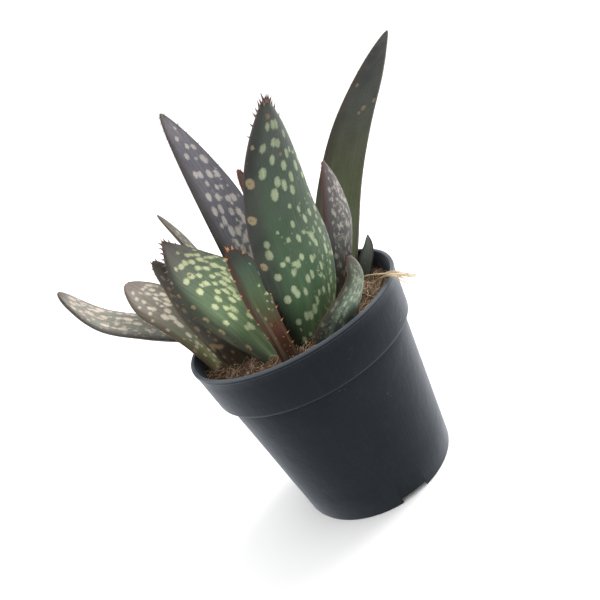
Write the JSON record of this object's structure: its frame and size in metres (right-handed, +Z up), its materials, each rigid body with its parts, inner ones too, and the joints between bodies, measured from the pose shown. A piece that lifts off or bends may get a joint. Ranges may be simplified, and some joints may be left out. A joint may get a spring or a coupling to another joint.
{
  "type": "potted aloe paradisicum",
  "caption": "Clump of thick, pointed succulent leaves with pale spots and small marginal teeth, growing in a round tapered nursery pot with a deep collar and a notched foot.",
  "frame": {"origin": "centre of the plant's overall extent seen from above, at the height of the pot's underside; the pot's axis stands 14.65 mm to -X and 2.63 mm to -Y of it", "axes": "+Z up along the pot's axis; -Y towards the front from which the picture is taken; +X to the right, the side that the tallest leaf leans to"},
  "size_m": [0.1996, 0.1102, 0.1962],
  "materials": {
    "pot": "satin charcoal injection-moulded plastic, light lip, faint scuffs and dust",
    "soil": "loose brown coir and peat potting mix, fibrous and dull",
    "straw": "dry straw-coloured plant fibre",
    "leaf_green": "fleshy green leaf, waxy sheen, pale yellow-green spots, red-brown teeth",
    "leaf_olive": "fleshy olive leaf, waxy sheen, faint lengthwise stripes or few beige spots",
    "leaf_grey": "fleshy purple-grey leaf, waxy sheen, beige spots that run together"
  },
  "bodies": {
    "root": {"pot": "pot", "soil": "soil", "straw_tuft": "straw", "leaf_large_front": "leaf_green", "leaf_broad_left": "leaf_green", "leaf_channelled": "leaf_green", "leaf_short_front": "leaf_green", "leaf_tall_right": "leaf_olive", "leaf_under_left": "leaf_olive", "leaf_small_right": "leaf_olive", "leaf_back_left": "leaf_grey", "leaf_grey_right": "leaf_grey", "leaf_outer_left": "leaf_grey", "leaf_arching_left": "leaf_grey", "leaf_thin_back": "leaf_grey", "leaf_inner_back": "leaf_grey"}
  },
  "joints": []
}
